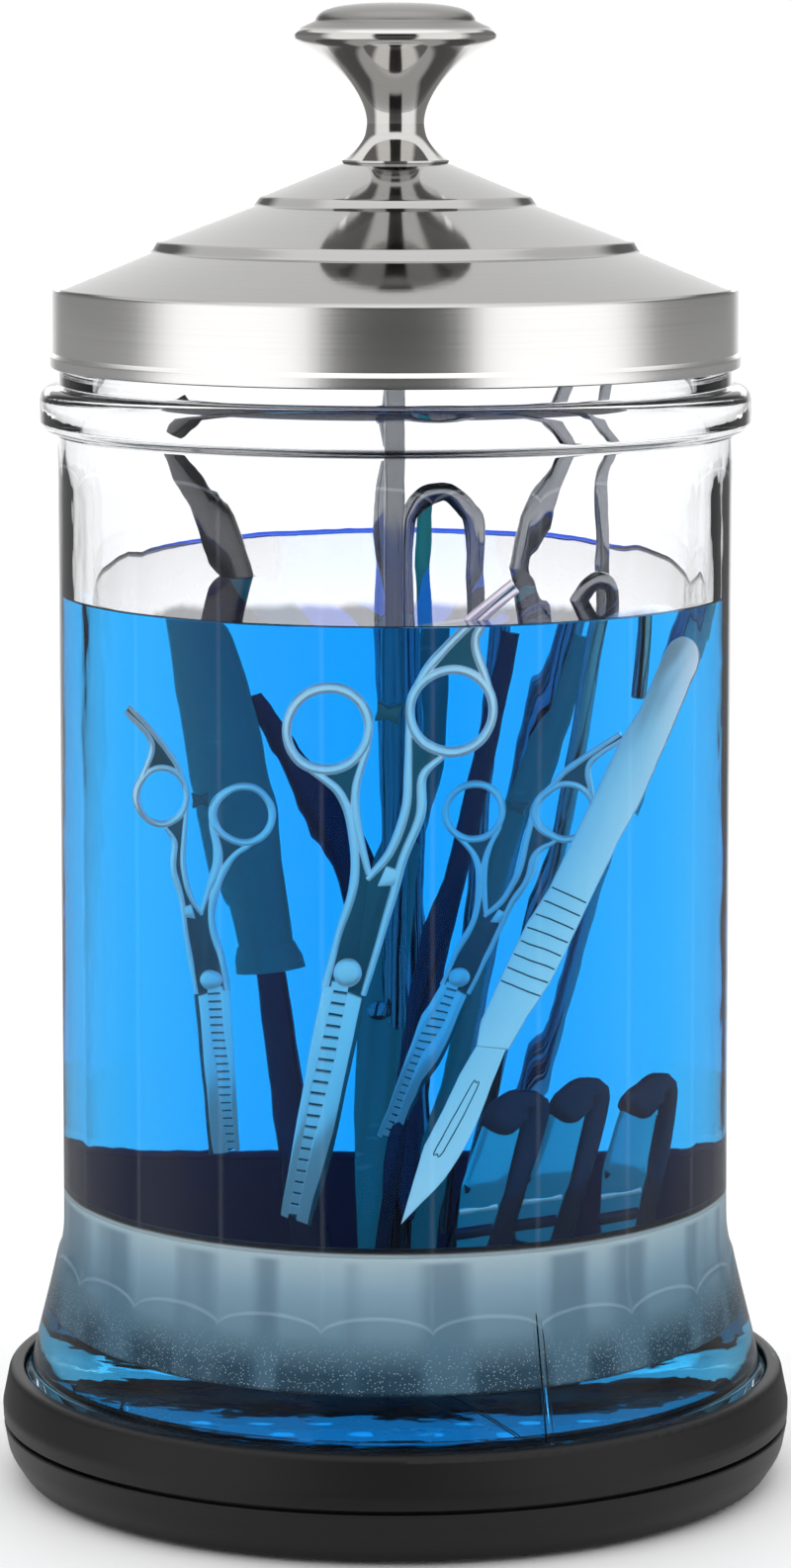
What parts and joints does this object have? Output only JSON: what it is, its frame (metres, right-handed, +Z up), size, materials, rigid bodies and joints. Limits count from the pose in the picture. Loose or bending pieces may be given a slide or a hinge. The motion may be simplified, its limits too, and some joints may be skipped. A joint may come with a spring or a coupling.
{
  "type": "disinfectant jar",
  "caption": "Fluted glass disinfectant jar on a black base, with a stepped steel lid whose knob lifts an instrument basket on a rod.",
  "frame": {"origin": "centre of the underside, where the jar stands", "axes": "+Z up along the jar's axis; the front, as pictured, faces -Y"},
  "size_m": [0.1256, 0.1256, 0.2324],
  "materials": {
    "foot_rubber": "matte",
    "base_plastic": "fine matte",
    "jar_glass": "clear, pressed",
    "seal_silicone": "translucent, satin",
    "lid_steel": "satin, spun",
    "knob_steel": "polished neck and satin cap",
    "fastener_steel": "plain stainless",
    "rod_steel": "bright drawn",
    "basket_steel": "satin"
  },
  "bodies": {
    "jar": {"foot_ring": "foot_rubber", "base_tray": "base_plastic", "base_collar": "base_plastic", "glass_jar": "jar_glass"},
    "seal": {"lid_seal": "seal_silicone"},
    "lid": {"lid_shell": "lid_steel", "knob": "knob_steel", "lid_washer": "fastener_steel", "lid_nut": "fastener_steel", "lift_rod": "rod_steel", "basket_cup": "basket_steel", "basket_floor": "basket_steel", "floor_washers": "fastener_steel", "floor_nuts": "fastener_steel"}
  },
  "joints": [
    {"name": "lid_lift", "type": "slide", "parent": "jar", "child": "seal", "axis": [0, 0, 1], "range_m": [0, 0.185]},
    {"name": "lid_turn", "type": "hinge", "parent": "seal", "child": "lid", "pos_m": [0, 0, 0.1855], "axis": [0, 0, 1], "continuous": true}
  ]
}
